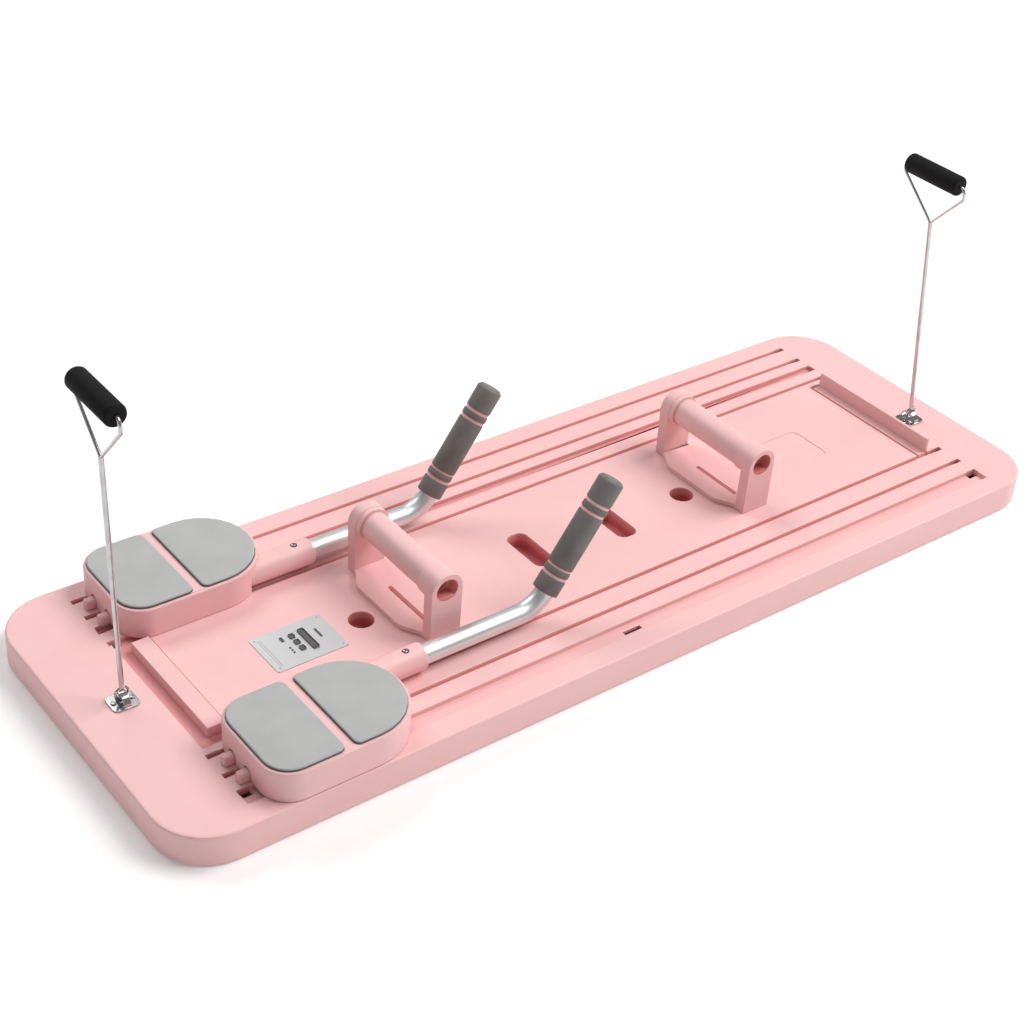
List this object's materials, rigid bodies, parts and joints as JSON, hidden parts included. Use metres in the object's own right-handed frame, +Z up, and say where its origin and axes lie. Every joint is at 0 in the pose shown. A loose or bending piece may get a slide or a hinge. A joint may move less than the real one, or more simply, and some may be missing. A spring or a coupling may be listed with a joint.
{
  "type": "pilates reformer",
  "caption": "Compact Pilates reformer board with sliding knee carriages and bent push tubes, lift-off push-up stands and hinged pull handles.",
  "frame": {"origin": "on the floor under the centre of the board", "axes": "+X along the board towards the end wall, +Y across the board, +Z up"},
  "size_m": [1.114, 0.39, 0.3781],
  "materials": {
    "pink_plastic": "moulded satin",
    "grey_pad": "matt foam",
    "aluminium": "brushed",
    "grey_grip": "satin",
    "chrome": "polished",
    "black_foam": "fine foam",
    "label_metal": "satin",
    "black_rubber": "matt",
    "steel": "bright",
    "white_nylon": "satin"
  },
  "bodies": {
    "board": {"board_shell": "pink_plastic", "bottom_cover": "pink_plastic", "foot_1": "black_rubber", "foot_2": "black_rubber", "foot_3": "black_rubber", "foot_4": "black_rubber", "foot_5": "black_rubber", "foot_6": "black_rubber", "end_bar_left": "pink_plastic", "end_wall_right": "pink_plastic", "label_plate": "label_metal", "pull_left_anchor": "chrome", "pull_left_anchor_screw_1": "steel", "pull_left_anchor_screw_2": "steel", "pull_right_anchor": "chrome", "pull_right_anchor_screw_1": "steel", "pull_right_anchor_screw_2": "steel"},
    "slider_back": {"slider_back_housing": "pink_plastic", "slider_back_base": "pink_plastic", "slider_back_rear_pad": "grey_pad", "slider_back_lead_pad": "grey_pad", "slider_back_tube_socket": "pink_plastic", "slider_back_push_tube": "aluminium", "slider_back_button_spring": "steel", "slider_back_grip_sleeve": "pink_plastic", "slider_back_grip_cuff": "grey_grip", "slider_back_grip_lower_ring": "grey_grip", "slider_back_grip_barrel": "grey_grip", "slider_back_grip_upper_ring": "grey_grip", "slider_back_grip_cap": "grey_grip"},
    "slider_back_rear_roller": {"slider_back_rear_roller": "white_nylon"},
    "slider_back_lead_roller": {"slider_back_lead_roller": "white_nylon"},
    "slider_back_snap_button": {"slider_back_snap_button": "steel"},
    "slider_front": {"slider_front_housing": "pink_plastic", "slider_front_base": "pink_plastic", "slider_front_rear_pad": "grey_pad", "slider_front_lead_pad": "grey_pad", "slider_front_tube_socket": "pink_plastic", "slider_front_push_tube": "aluminium", "slider_front_button_spring": "steel", "slider_front_grip_sleeve": "pink_plastic", "slider_front_grip_cuff": "grey_grip", "slider_front_grip_lower_ring": "grey_grip", "slider_front_grip_barrel": "grey_grip", "slider_front_grip_upper_ring": "grey_grip", "slider_front_grip_cap": "grey_grip"},
    "slider_front_rear_roller": {"slider_front_rear_roller": "white_nylon"},
    "slider_front_lead_roller": {"slider_front_lead_roller": "white_nylon"},
    "slider_front_snap_button": {"slider_front_snap_button": "steel"},
    "stand_left": {"stand_left_frame": "pink_plastic", "stand_left_core_tube": "steel"},
    "stand_left_grip": {"stand_left_grip_sleeve": "pink_plastic"},
    "stand_right": {"stand_right_frame": "pink_plastic", "stand_right_core_tube": "steel"},
    "stand_right_grip": {"stand_right_grip_sleeve": "pink_plastic"},
    "pull_left_rod": {"pull_left_rod": "chrome"},
    "pull_left_handle": {"pull_left_handle": "black_foam"},
    "pull_right_rod": {"pull_right_rod": "chrome"},
    "pull_right_handle": {"pull_right_handle": "black_foam"}
  },
  "joints": [
    {"name": "slider_back_travel", "type": "slide", "parent": "board", "child": "slider_back", "axis": [1, 0, 0], "range_m": [0, 0.55]},
    {"name": "slider_back_rear_roller_spin", "type": "hinge", "parent": "slider_back", "child": "slider_back_rear_roller", "pos_m": [-0.439, 0.135, 0.0408], "axis": [0, 1, 0], "continuous": true},
    {"name": "slider_back_lead_roller_spin", "type": "hinge", "parent": "slider_back", "child": "slider_back_lead_roller", "pos_m": [-0.356, 0.135, 0.0408], "axis": [0, 1, 0], "continuous": true},
    {"name": "slider_back_snap_button_press", "type": "slide", "parent": "slider_back", "child": "slider_back_snap_button", "axis": [0, 0, -1], "range_m": [0, 0.0045], "stiffness_N_per_m": 300, "deforming": ["slider_back_button_spring"]},
    {"name": "slider_front_travel", "type": "slide", "parent": "board", "child": "slider_front", "axis": [1, 0, 0], "range_m": [0, 0.55]},
    {"name": "slider_front_rear_roller_spin", "type": "hinge", "parent": "slider_front", "child": "slider_front_rear_roller", "pos_m": [-0.439, -0.135, 0.0408], "axis": [0, 1, 0], "continuous": true},
    {"name": "slider_front_lead_roller_spin", "type": "hinge", "parent": "slider_front", "child": "slider_front_lead_roller", "pos_m": [-0.356, -0.135, 0.0408], "axis": [0, 1, 0], "continuous": true},
    {"name": "slider_front_snap_button_press", "type": "slide", "parent": "slider_front", "child": "slider_front_snap_button", "axis": [0, 0, -1], "range_m": [0, 0.0045], "stiffness_N_per_m": 300, "deforming": ["slider_front_button_spring"]},
    {"name": "stand_left_lift_off", "type": "slide", "parent": "board", "child": "stand_left", "axis": [0, 0, 1], "range_m": [0, 0.12]},
    {"name": "stand_left_grip_spin", "type": "hinge", "parent": "stand_left", "child": "stand_left_grip", "pos_m": [-0.2005, -0.0025, 0.093], "axis": [0, 1, 0], "continuous": true},
    {"name": "stand_right_lift_off", "type": "slide", "parent": "board", "child": "stand_right", "axis": [0, 0, 1], "range_m": [0, 0.12]},
    {"name": "stand_right_grip_spin", "type": "hinge", "parent": "stand_right", "child": "stand_right_grip", "pos_m": [0.2175, -0.0025, 0.093], "axis": [0, 1, 0], "continuous": true},
    {"name": "pull_left_rod_swing", "type": "hinge", "parent": "board", "child": "pull_left_rod", "pos_m": [-0.5065, 0.0075, 0.0467], "axis": [0, 1, 0], "range_deg": [-99, 66]},
    {"name": "pull_left_handle_spin", "type": "hinge", "parent": "pull_left_rod", "child": "pull_left_handle", "pos_m": [-0.51209, 0.0075, 0.36715], "axis": [0, 1, 0], "continuous": true},
    {"name": "pull_right_rod_swing", "type": "hinge", "parent": "board", "child": "pull_right_rod", "pos_m": [0.508, -0.036, 0.0467], "axis": [0, 1, 0], "range_deg": [-56, 108]},
    {"name": "pull_right_handle_spin", "type": "hinge", "parent": "pull_right_rod", "child": "pull_right_handle", "pos_m": [0.45952, -0.036, 0.36351], "axis": [0, 1, 0], "continuous": true}
  ],
  "couplings": [
    {"joint": "slider_back_rear_roller_spin", "follows": "slider_back_travel", "rad_per_m": 181.82},
    {"joint": "slider_back_lead_roller_spin", "follows": "slider_back_travel", "rad_per_m": 181.82},
    {"joint": "slider_front_rear_roller_spin", "follows": "slider_front_travel", "rad_per_m": 181.82},
    {"joint": "slider_front_lead_roller_spin", "follows": "slider_front_travel", "rad_per_m": 181.82}
  ]
}
